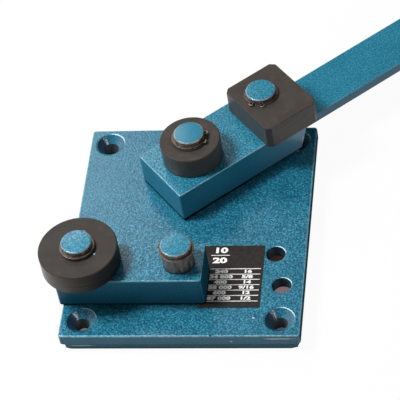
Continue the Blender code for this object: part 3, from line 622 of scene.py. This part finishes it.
def bronze(name):
    s = Shader(name)
    tone = s.noise(300, 3.0, 0.6)
    colour = s.ramp(tone, ((0.35, (0.22, 0.11, 0.035)), (0.7, (0.52, 0.31, 0.12))))
    s.bump(s.noise(1400), 0.3, 0.0001, 0.0003)
    return s.finish(colour, s.span(tone, 0.3, 0.7, 0.3, 0.45), 0.9)


def print_black(name):
    """The label's dull black print, a little scuffed."""
    s = Shader(name)
    scuff = s.noise(210, 4.0, 0.65)
    colour = s.ramp(scuff, ((0.35, (0.014, 0.011, 0.010)), (0.7, (0.033, 0.027, 0.024))))
    s.bump(s.noise(900), 0.25, 0.0001)
    return s.finish(colour, s.span(scuff, 0.3, 0.7, 0.42, 0.58), specular=0.22)


def print_white(name):
    """The label's white lines and figures."""
    s = Shader(name)
    scuff = s.noise(700, 4.0, 0.65)
    colour = s.ramp(scuff, ((0.30, (0.80, 0.79, 0.77)), (0.55, (0.96, 0.95, 0.93))))
    s.bump(s.noise(1100), 0.2, 0.00008)
    return s.finish(colour, s.span(scuff, 0.3, 0.7, 0.4, 0.6), specular=0.4)


CORNER_STEPS = 4
TURN_STEPS = 144
TURNED_SHARP = math.radians(35)
AXIS_RADIUS = 1e-6


def circle(x, y, radius, count):
    turns = [TAU * i / count for i in range(count)]
    return [(x + radius * math.cos(turn), y + radius * math.sin(turn)) for turn in turns]


def arc_corner(at, before, after, radius):
    """Points that round the corner of a profile."""
    at = Vector(at)
    a = (Vector(before) - at).normalized()
    b = (Vector(after) - at).normalized()
    reach = radius / math.tan(a.angle(b) / 2)
    start, end = at + a * reach, at + b * reach
    shares = [i / CORNER_STEPS for i in range(CORNER_STEPS + 1)]
    return [tuple((1 - t) ** 2 * start + 2 * t * (1 - t) * at + t * t * end) for t in shares]


def rounded_profile(corners, closed):
    """A profile from (radius, height, rounding) corners."""
    points = []
    count = len(corners)
    for i, (r, z, rounding) in enumerate(corners):
        if rounding and (closed or 0 < i < count - 1):
            before = corners[i - 1][:2]
            after = corners[(i + 1) % count][:2]
            points += arc_corner((r, z), before, after, rounding)
        else:
            points.append((r, z))
    return points


def closed_mesh(work, name):
    """The mesh of a bmesh, with its faces looking outwards."""
    bmesh.ops.recalc_face_normals(work, faces=work.faces)
    mesh = bpy.data.meshes.new(name)
    work.to_mesh(mesh)
    work.free()
    return mesh


def lathe(name, profile, centre, finishes, closed=False, pick=None):
    """A turned body. pick(height) gives the index of a face's material."""
    work = bmesh.new()
    rings = []
    for r, z in profile:
        around = circle(centre.x, centre.y, r, TURN_STEPS) if r > AXIS_RADIUS else [centre.xy]
        rings.append([work.verts.new((x, y, z)) for x, y in around])
    pairs = list(zip(range(len(rings) - 1), range(1, len(rings))))
    if closed:
        pairs.append((len(rings) - 1, 0))
    for low, high in pairs:
        a, b = rings[low], rings[high]
        index = pick((profile[low][1] + profile[high][1]) / 2) if pick else 0
        for i in range(TURN_STEPS):
            j = (i + 1) % TURN_STEPS
            if len(a) == 1:
                corners = (a[0], b[j], b[i])
            elif len(b) == 1:
                corners = (a[i], a[j], b[0])
            else:
                corners = (a[i], a[j], b[j], b[i])
            face = work.faces.new(corners)
            face.material_index = index
            face.smooth = True
    mesh = closed_mesh(work, name)
    mesh.set_sharp_from_angle(angle=TURNED_SHARP)
    for finish in finishes:
        mesh.materials.append(finish)
    return new_object(name, mesh)


INDEX_BORE = 0.010
BOLT_BORE = 0.008
BOLT_RIM = 0.0153


def hole_places():
    """(x, y, bore radius, rim radius) of the plate's holes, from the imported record."""
    places = []
    for opening in frame["record"]["physics"]["openings"]:
        low, high = opening["box_m"]
        if low[2] > 0:
            continue
        index_hole = opening["name"].startswith("index")
        radii = (INDEX_BORE, INDEX_BORE) if index_hole else (BOLT_BORE, BOLT_RIM)
        places.append(((low[0] + high[0]) / 2, (low[1] + high[1]) / 2, *radii))
    return places


# Scratches and flecks, and on the lever a painted highlight: (centre, half sizes, colour)
BARE = (0.50, 0.46, 0.39)
PALE_PAINT = (0.42, 0.62, 0.70)
PLATE_MARKS = (
    ((0.1037, -0.1450, 0.0185), (0.0155, 0.0020, 0.0010), BARE),
    ((0.0542, -0.1450, 0.0144), (0.0014, 0.0020, 0.0011), BARE),
    ((0.0761, -0.1213, 0.0230), (0.0012, 0.0012, 0.0010), PALE_PAINT),
    ((0.0341, -0.1440, 0.0228), (0.0016, 0.0012, 0.0010), (0.02, 0.03, 0.04)),
    ((-0.1015, -0.1440, 0.0060), (0.0135, 0.0020, 0.0008), PALE_PAINT),
)
# A painted highlight on the lever block's upright end edge
LEVER_GLINT = (((0.1132, 0.1133, 0.0345), (0.0022, 0.0022, 0.0075), (0.50, 0.43, 0.43)),)
ROLLER_MARKS = (((-0.0833, -0.0880, 0.0865), (0.0013, 0.0012, 0.0008), (0.22, 0.44, 0.54)),)

PIVOT_PLACE = node_centre("pivot_pin").xy
LEVER_WAY = (node_centre("bending_pin").xy - PIVOT_PLACE).normalized()
ABUTMENT_LOW, ABUTMENT_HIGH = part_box("abutment_block")

# front and foot set painted shade on the front faces and the foot
PAINT_PLATE = hammer_paint(
    "plate_enamel", front=0.28, foot=0.0088, shadow_band=(0.0, 0.0018),
    holes=hole_places(), marks=PLATE_MARKS,
)
# The lever's near side grows paler towards its end with a painted reflection
PAINT_LEVER = hammer_paint(
    "lever_enamel", depth=0.8, wear_and_highlight=1.2, lift=0.04, shadow_band=(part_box("lever_block")[0].z, 0.0042),
    rubbed=(PIVOT_PLACE, 0.05, 0.13, (LEVER_WAY.y, -LEVER_WAY.x)), marks=LEVER_GLINT,
)
PAINT_ABUTMENT = hammer_paint(
    "abutment_enamel", wear_and_highlight=0.7, front=0.65, shadow_band=(ABUTMENT_LOW.z, 0.0026),
)
PAINT_BAR = hammer_paint(
    "bar_enamel", grain=1.15, depth=0.6, lift=0.05, coat=0.36, wear_and_highlight=0.45, upright_sheen=0.60,
)
PAINT_TIP = hammer_paint("tip_enamel", grain=1.05, depth=0.7, lift=0.05)
PAINT_SMOOTH_TIP = hammer_paint("smooth_tip_enamel", grain=1.2, depth=0.12, lift=0.04)
WELD_WAY = Vector((-LEVER_WAY.y, LEVER_WAY.x))
BRONZE = bronze("worn_bronze")
PRINT_WHITE = print_white("print_white")

for name, finish in (
    ("base_plate", PAINT_PLATE),
    ("lever_block", PAINT_LEVER),
    ("abutment_block", PAINT_ABUTMENT),
    ("handle_bar", PAINT_BAR),
    ("handle_weld", weld_paint("weld_enamel", WELD_WAY, PIVOT_PLACE, HANDLE_HALF)),
    ("lever_bush", BRONZE),
    ("thrust_washer", BRONZE),
    ("label_plate", print_black("print_black")),
    ("bending_block", oxide_steel("ground_oxide", glare=0.1)),
):
    NODES[name].data.materials.clear()
    NODES[name].data.materials.append(finish)


def ring_piece(node, body, edges, **looks):
    """A finer ring in the place of a roller or a washer."""
    outer_chamfer, inner_chamfer, rounding = edges
    low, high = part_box(node)
    centre = (low + high) / 2
    outer = (high.x - low.x) / 2
    inner = min((v.co.xy - centre.xy).length for v in NODES[node].data.vertices)
    corners = (
        (inner, low.z + inner_chamfer),
        (inner + inner_chamfer, low.z),
        (outer - outer_chamfer, low.z),
        (outer, low.z + outer_chamfer),
        (outer, high.z - outer_chamfer),
        (outer - outer_chamfer, high.z),
        (inner + inner_chamfer, high.z),
        (inner, high.z - inner_chamfer),
    )
    profile = rounded_profile([(*corner, rounding) for corner in corners], True)
    finish = oxide_steel(node + "_oxide", centre.xy, **looks)
    piece = lathe(node + "_turned", profile, centre, (finish,), closed=True)
    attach(piece, body)
    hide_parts(node)


# Outer chamfer, inner chamfer and rounding of rollers and washers
ROLLER_EDGES = (0.001, 0.0006, 0.0003)
WASHER_EDGES = (0.0003, 0.0002, 0.0001)

ring_piece("centre_roller", "centre_roller", ROLLER_EDGES)
# The abutment roller gets painted shade and painted light
ring_piece("abutment_roller", "abutment_roller", ROLLER_EDGES, shade=0.28, marks=ROLLER_MARKS)
ring_piece("centre_washer", "base", WASHER_EDGES)
ring_piece("roller_washer", "abutment", WASHER_EDGES)

# Corners of a pin that are nearer than this count as one, and what shapes its tip
SAME_RADIUS = 2e-5
TIP_ROUNDING = 0.0005
TIP_ROUNDED = 0.0015
TIP_FLAT = 0.00001
RIM_HEIGHT = 0.0011


def pin_profile(node):
    """(radius, height) points of a pin, from the CAD node's own corners."""
    centre = node_centre(node).xy
    levels = {}
    for v in NODES[node].data.vertices:
        level = levels.setdefault(round(v.co.z, 6), set())
        level.add(round((v.co.xy - centre).length, 6))
    heights = sorted(levels)
    profile = [(0, heights[0])]
    for z in heights:
        radii = sorted(r for r in levels[z] if r > AXIS_RADIUS)
        radii = [r for i, r in enumerate(radii) if i == 0 or r - radii[i - 1] > SAME_RADIUS]
        last = profile[-1][0]
        if len(radii) > 1 and last and abs(last - radii[0]) > abs(last - radii[-1]):
            radii.reverse()
        profile += [(r, z) for r in radii]
    return profile + [(0, heights[-1])]


def pin_piece(node, body, painted, tip_paint=PAINT_TIP, foot=None):
    """A finer pin with a painted tip, from the CAD node's own profile."""
    low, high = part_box(node)
    tip = high.z
    shaped = []
    for r, z in pin_profile(node):
        rounded = z > tip - TIP_ROUNDED and r > AXIS_RADIUS
        shaped.append((r, z, TIP_ROUNDING if rounded else 0.0))
    piece = lathe(
        node + "_turned",
        rounded_profile(shaped, False),
        (low + high) / 2,
        (shank_steel(node + "_shank", foot), tip_paint, rim_steel(node + "_rim", painted)),
        pick=lambda z: 1 if z > tip - TIP_FLAT else 2 if z > tip - RIM_HEIGHT else 0,
    )
    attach(piece, body)
    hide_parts(node)


pin_piece("pivot_pin", "base", 0.1, PAINT_SMOOTH_TIP)
pin_piece("bending_pin", "lever", 0.6)
pin_piece("post_pin", "abutment", 0.35, foot=ABUTMENT_HIGH.z)
pin_piece("roller_pin", "abutment", 0.5)

CLIP_WIDE = 0.0036
CLIP_NARROW = 0.0023
CLIP_STEPS = 150
CLIP_EDGE = 0.00018
CLIP_SHARP = math.radians(40)
LUG_RADIUS = 0.0030
LUG_HOLE_RADIUS = 0.00145
LUG_HOLE_STEPS = 20
LUG_END = 0.0024


def clip_outer(inner, hole_at, lug_angle):
    """(angle, radius) points of a circlip's outer edge, from lug to lug."""
    start = lug_angle - LUG_END / hole_at
    outer = []
    for i in range(CLIP_STEPS + 1):
        angle = start + (TAU - 2 * start) * i / CLIP_STEPS
        radius = inner + CLIP_NARROW + (CLIP_WIDE - CLIP_NARROW) * (1 - math.cos(angle)) / 2
        for side in (lug_angle, TAU - lug_angle):
            away = angle - side
            across = hole_at * math.sin(away)
            if abs(away) < 1 and abs(across) < LUG_RADIUS:
                bulge = math.sqrt(LUG_RADIUS**2 - across**2)
                radius = max(radius, hole_at * math.cos(away) + bulge)
        outer.append((angle, radius))
    return outer


def clip_piece(node, body):
    """A finer circlip: a spring ring that tapers towards two drilled round lugs."""
    low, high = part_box(node)
    centre = node_centre(node.replace("circlip", "pin")).xy
    points = [v.co.xy - centre for v in NODES[node].data.vertices]
    inner = min(p.length for p in points)
    reach = max(p.length for p in points)
    lugs = [p for p in points if p.length > reach * 0.985]
    heading = sum(lugs, Vector((0, 0)))
    lug_angle = max(p.angle(heading) for p in lugs)
    hole_at = reach - LUG_RADIUS

    outer = clip_outer(inner, hole_at, lug_angle)
    loop = outer + [(angle, inner) for angle, _ in reversed(outer)]
    loops = [[(r * math.cos(a), r * math.sin(a)) for a, r in loop]]
    hole_x, hole_y = hole_at * math.cos(lug_angle), hole_at * math.sin(lug_angle)
    for y in (-hole_y, hole_y):
        loops.append(circle(hole_x, y, LUG_HOLE_RADIUS, LUG_HOLE_STEPS))
    work = bmesh.new()
    edges = []
    for outline in loops:
        verts = [work.verts.new((x, y, 0)) for x, y in outline]
        edges += [work.edges.new((verts[i - 1], verts[i])) for i in range(len(verts))]
    filled = bmesh.ops.triangle_fill(work, use_beauty=True, edges=edges)
    faces = [g for g in filled["geom"] if isinstance(g, bmesh.types.BMFace)]
    grown = bmesh.ops.extrude_face_region(work, geom=faces)
    raised = [g for g in grown["geom"] if isinstance(g, bmesh.types.BMVert)]
    bmesh.ops.translate(work, vec=(0, 0, high.z - low.z), verts=raised)

    mesh = closed_mesh(work, node + "_spring")
    turn = Matrix.Rotation(math.atan2(heading.y, heading.x), 4, "Z")
    mesh.transform(Matrix.Translation((*centre, low.z)) @ turn)
    mesh.shade_smooth()
    mesh.set_sharp_from_angle(angle=CLIP_SHARP)
    mesh.materials.append(spring_steel(node + "_blued", centre, inner + CLIP_WIDE))
    piece = new_object(node + "_spring", mesh)
    edge = piece.modifiers.new("edge", "BEVEL")
    edge.width = CLIP_EDGE
    edge.segments = 2
    edge.limit_method = "ANGLE"
    edge.angle_limit = CLIP_SHARP
    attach(piece, body)
    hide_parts(node)


for node, body in (
    ("pivot_circlip", "base"),
    ("bending_circlip", "lever"),
    ("post_circlip", "abutment"),
    ("roller_circlip", "abutment"),
):
    clip_piece(node, body)

# The label. Its lines and figures are placed by shares of its width and depth.
LABEL_LOW, LABEL_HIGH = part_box("label_plate")
PRINT_RISE = 0.00006
RULE_HALF = 0.00045
RULE_ENDS = (0.14, 0.965)
RULE_ROWS = (0.100, 0.190, 0.276, 0.361, 0.447, 0.532, 0.620)
SHORT_RULE_HALF = 0.0004
SHORT_RULE_ENDS = (0.13, 0.43)
SHORT_RULE_UP = 0.842

# Figures: share of the width, size, stretch and weight
TITLE_FIGURES = (0.28, 0.0098, 1.5, 0.05)
ROW_FIGURES = (0.33, 0.0058, 1.5, 0.065)
VALUE_FIGURES = (0.755, 0.0056, 1.6, 0.05)
TITLE_ROWS = (("10", 0.92), ("20", 0.755))
LABEL_ROWS = (
    ("240", "16"),
    ("34 800", "5/8"),
    ("400", "14"),
    ("58 000", "9/16"),
    ("600", "12"),
    ("87 000", "1/2"),
)


def on_label(across, up):
    """A point of the label, from the front left corner."""
    return (
        LABEL_LOW.x + (LABEL_HIGH.x - LABEL_LOW.x) * across,
        LABEL_LOW.y + (LABEL_HIGH.y - LABEL_LOW.y) * up,
    )


def print_piece(name, mesh):
    mesh.materials.clear()
    mesh.materials.append(PRINT_WHITE)
    piece = new_object(name, mesh)
    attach(piece, "base")


def rule(name, ends, up, half):
    """A printed line."""
    left, y = on_label(ends[0], up)
    right, _ = on_label(ends[1], up)
    front, back = y - half, y + half
    corners = ((left, front), (right, front), (right, back), (left, back))
    levels = (LABEL_HIGH.z, LABEL_HIGH.z + PRINT_RISE)
    mesh = bpy.data.meshes.new(name)
    mesh.from_pydata(
        [(x, y, z) for z in levels for x, y in corners],
        [],
        [(3, 2, 1, 0), (4, 5, 6, 7), (0, 1, 5, 4), (1, 2, 6, 5), (2, 3, 7, 6), (3, 0, 4, 7)],
    )
    print_piece(name, mesh)


def figures(name, text, up, style):
    """Printed figures, centred on a point."""
    across, size, stretch, weight = style
    curve = bpy.data.curves.new(name, "FONT")
    curve.body = text
    curve.size = size
    curve.align_x = "CENTER"
    curve.align_y = "CENTER"
    curve.offset = size * weight
    curve.extrude = PRINT_RISE / 2
    curve.resolution_u = 3
    drawn = new_object(name + "_curve", curve)
    bpy.context.view_layer.update()
    graph = bpy.context.evaluated_depsgraph_get()
    mesh = bpy.data.meshes.new_from_object(drawn.evaluated_get(graph))
    bpy.data.objects.remove(drawn)
    mesh.name = name
    move = Matrix.Translation((*on_label(across, up), LABEL_HIGH.z + PRINT_RISE / 2))
    mesh.transform(move @ Matrix.Diagonal((stretch, 1, 1, 1)))
    print_piece(name, mesh)


for number, up in enumerate(RULE_ROWS):
    rule("label_rule_%d" % number, RULE_ENDS, up, RULE_HALF)
rule("label_rule_short", SHORT_RULE_ENDS, SHORT_RULE_UP, SHORT_RULE_HALF)
for text, up in TITLE_ROWS:
    figures("label_figure_" + text, text, up, TITLE_FIGURES)
for number, (text, value) in enumerate(LABEL_ROWS):
    up = (RULE_ROWS[-1 - number] + RULE_ROWS[-2 - number]) / 2
    figures("label_row_%d" % number, text, up, ROW_FIGURES)
    figures("label_value_%d" % number, value, up, VALUE_FIGURES)

# The floor. It glows, so that it shows white, and keeps a soft shadow.
FLOOR_REACH = 6.0
FLOOR_DROP = 0.0004
SHADOW_SHARE = 0.05
FLOOR_SEEN = (0.92, 0.92, 0.92)
FLOOR_BOUNCE = (0.42, 0.42, 0.41)
FLOOR_GRAIN = (0.80, 0.80, 0.79)
GLOW_STRENGTH = 1.0

# Beneath the plate it shows only through the holes, where it glows with painted light and shade:
# (x, y, glow) under each
UNDER_EDGE = -0.004
UNDER_COLOUR = (0.66, 0.57, 0.56)
UNDER_PAINTED_LIGHT = (0.14, 0.12, 0.12)
UNDER_SHARE = 0.55
UNDER_PATCH_EDGE = (0.012, 0.017)
UNDER_PAINTED_PATCHES = (
    (0.0970, -0.0585, (0.34, 0.255, 0.27)),
    (-0.1080, 0.1442, (0.13, 0.095, 0.070)),
    (0.0878, -0.0162, (0.045, 0.022, 0.020)),
    (0.0980, -0.1030, (0.050, 0.110, 0.165)),
    (-0.1120, -0.1210, (0.12, 0.14, 0.17)),
    (-0.1080, -0.1030, (0.42, 0.34, 0.38)),
)


def floor_material():
    """Pale floor that shows white round the object and keeps its soft shadow; beneath the plate it
    glows with painted light and shade.
    """
    s = Shader("pale_floor")
    path = s.add("ShaderNodeLightPath")
    seen = s.greater(path.outputs["Is Camera Ray"], path.outputs["Is Glossy Ray"])
    seen = s.greater(seen, path.outputs["Is Transmission Ray"])
    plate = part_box("base_plate")[1]
    x, y, _ = s.split()
    beside = s.greater(s.minus(s.absolute(x), plate.x), s.minus(s.absolute(y), plate.y))
    open_floor = s.math("GREATER_THAN", beside, UNDER_EDGE)

    pale = s.mix(seen, FLOOR_BOUNCE, FLOOR_SEEN)
    pale = s.mix(s.times(s.noise(24, 3.0), 0.06), pale, FLOOR_GRAIN)
    lit = s.add("ShaderNodeBsdfDiffuse")
    s.feed(lit.inputs["Color"], s.mix(open_floor, UNDER_COLOUR, pale))
    # Painted light and shade, as glow, under the holes
    under_light = UNDER_PAINTED_LIGHT
    for x, y, tint in UNDER_PAINTED_PATCHES:
        patch = s.span(s.away(x, y), *UNDER_PATCH_EDGE, 1.0, 0.0)
        under_light = s.mix(patch, under_light, tint)
    glow = s.add("ShaderNodeEmission")
    s.feed(glow.inputs["Color"], s.mix(open_floor, under_light, (1, 1, 1)))
    s.feed(glow.inputs["Strength"], GLOW_STRENGTH)

    share = s.plus(s.times(open_floor, 1 - SHADOW_SHARE - UNDER_SHARE), UNDER_SHARE)
    mixed = s.add("ShaderNodeMixShader")
    s.feed(mixed.inputs[0], s.times(seen, share))
    s.feed(mixed.inputs[1], lit.outputs[0])
    s.feed(mixed.inputs[2], glow.outputs[0])
    s.feed(s.tree.nodes["Material Output"].inputs["Surface"], mixed.outputs[0])
    return s.material


floor_sides = ((-1, -1), (1, -1), (1, 1), (-1, 1))
floor_corners = [(x * FLOOR_REACH, y * FLOOR_REACH, -FLOOR_DROP) for x, y in floor_sides]
floor_mesh = bpy.data.meshes.new("floor")
floor_mesh.from_pydata(floor_corners, [], [(0, 1, 2, 3)])
floor_mesh.materials.append(floor_material())
new_object("floor", floor_mesh)

# Lamps: name, place, aim, width, height and power
LAMPS = (
    ("key_light", (-0.76, -0.06, 1.38), (0, 0, 0.03), 0.38, 0.38, 23),
    ("back_light", (-0.72, 1.26, 1.32), (-0.1, 0.05, 0.03), 0.75, 0.60, 5.8),
    ("fill_light", (1.20, -0.95, 0.90), (0, 0, 0.03), 0.45, 0.45, 2.4),
)

for name, at, aim, width, height, power in LAMPS:
    light = bpy.data.lights.new(name, "AREA")
    light.shape = "RECTANGLE"
    light.size = width
    light.size_y = height
    light.energy = power
    lamp = new_object(name, light)
    lamp.location = at
    lamp.rotation_euler = (Vector(aim) - Vector(at)).to_track_quat("-Z", "Y").to_euler()

AMBIENT_LEFT = 0.33
AMBIENT_RIGHT = 0.12
AMBIENT_SPREAD = 0.9


def light_world():
    """White to the camera, and else a weak light that comes more from the left."""
    world = bpy.data.worlds.new("plain_world")
    bpy.context.scene.world = world
    world.use_nodes = True
    world.node_tree.nodes.clear()
    w = Nodes(world.node_tree)
    strength = w.add("ShaderNodeMapRange")
    way = w.add("ShaderNodeTexCoord").outputs["Generated"]
    w.feed(strength.inputs["Value"], w.split(way)["X"])
    w.feed(strength.inputs["From Min"], -AMBIENT_SPREAD)
    w.feed(strength.inputs["From Max"], AMBIENT_SPREAD)
    w.feed(strength.inputs["To Min"], AMBIENT_LEFT)
    w.feed(strength.inputs["To Max"], AMBIENT_RIGHT)
    mixed = w.add("ShaderNodeMixShader")
    w.feed(mixed.inputs[0], w.add("ShaderNodeLightPath").outputs["Is Camera Ray"])
    for place, power in ((1, strength.outputs["Result"]), (2, 1.0)):
        plain = w.add("ShaderNodeBackground")
        w.feed(plain.inputs["Color"], (1, 1, 1))
        w.feed(plain.inputs["Strength"], power)
        w.feed(mixed.inputs[place], plain.outputs[0])
    w.feed(w.add("ShaderNodeOutputWorld").inputs["Surface"], mixed.outputs[0])


def place_camera():
    back = Vector(
        (
            math.sin(CAMERA_AZIMUTH) * math.cos(CAMERA_ELEVATION),
            -math.cos(CAMERA_AZIMUTH) * math.cos(CAMERA_ELEVATION),
            math.sin(CAMERA_ELEVATION),
        )
    )
    right = (-back).cross(Vector((0, 0, 1))).normalized()
    up = right.cross(-back)
    turned_right = math.cos(CAMERA_ROLL) * right + math.sin(CAMERA_ROLL) * up
    turned_up = -math.sin(CAMERA_ROLL) * right + math.cos(CAMERA_ROLL) * up
    matrix = Matrix((turned_right, turned_up, back)).transposed().to_4x4()
    matrix.translation = CAMERA_TARGET + back * CAMERA_DISTANCE
    data = bpy.data.cameras.new("photo_camera")
    data.sensor_width = SENSOR
    data.lens = CAMERA_FOCAL_PIXELS * SENSOR / IMAGE_SIZE
    data.clip_start, data.clip_end = CAMERA_CLIP
    camera = new_object("photo_camera", data)
    camera.matrix_world = matrix
    bpy.context.scene.camera = camera


light_world()
place_camera()
bpy.context.scene.view_settings.view_transform = "Standard"
